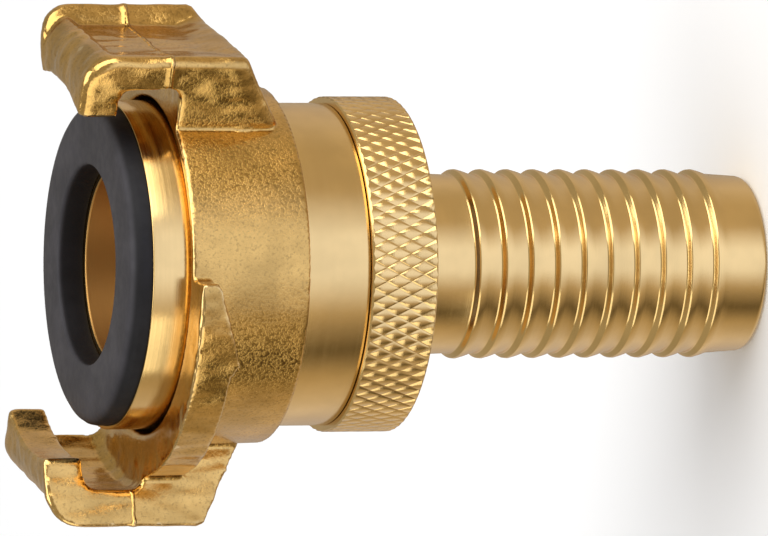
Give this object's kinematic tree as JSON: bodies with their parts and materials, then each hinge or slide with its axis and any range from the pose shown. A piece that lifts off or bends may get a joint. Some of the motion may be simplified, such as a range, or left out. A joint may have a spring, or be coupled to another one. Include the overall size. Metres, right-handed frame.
{
  "type": "claw quick coupling half with knurled nut and hose tail",
  "caption": "Brass claw quick coupling half for hose: forged claw ring with hooks and locking ramps, flat rubber seal, knurled clamping nut and barbed swivelling hose tail.",
  "frame": {"origin": "centre of the hose end of the tail, which is the underside of the part's box", "axes": "+Z along the waterway from the hose end to the claws; +X square to the outer flat of one claw; +Y completes a right-handed frame"},
  "size_m": [0.0528, 0.045, 0.0784],
  "materials": {
    "forged_brass": "forged and shot-blasted, satin",
    "turned_brass": "turned, fine lathe lines",
    "seal_rubber": "smooth matt black",
    "slip_plastic": "natural white, smooth",
    "spring_steel": "bright spring steel"
  },
  "bodies": {
    "claws": {"claw_ring": "forged_brass"},
    "slide": {"slip_ring": "slip_plastic"},
    "nut": {"knurled_nut": "turned_brass"},
    "tail": {"hose_tail": "turned_brass", "seal": "seal_rubber", "retaining_ring": "spring_steel"}
  },
  "joints": [
    {"name": "seal_press", "type": "slide", "parent": "claws", "child": "slide", "axis": [0, 0, -1], "range_m": [0, 0.006]},
    {"name": "nut_turn", "type": "hinge", "parent": "slide", "child": "nut", "pos_m": [0, 0, 0.0439], "axis": [0, 0, -1], "range_deg": [0, 1080]},
    {"name": "hose_swivel", "type": "hinge", "parent": "slide", "child": "tail", "pos_m": [0, 0, 0.0439], "axis": [0, 0, -1], "continuous": true}
  ],
  "couplings": [
    {"joint": "nut_turn", "follows": "seal_press", "rad_per_m": 3141.6}
  ]
}
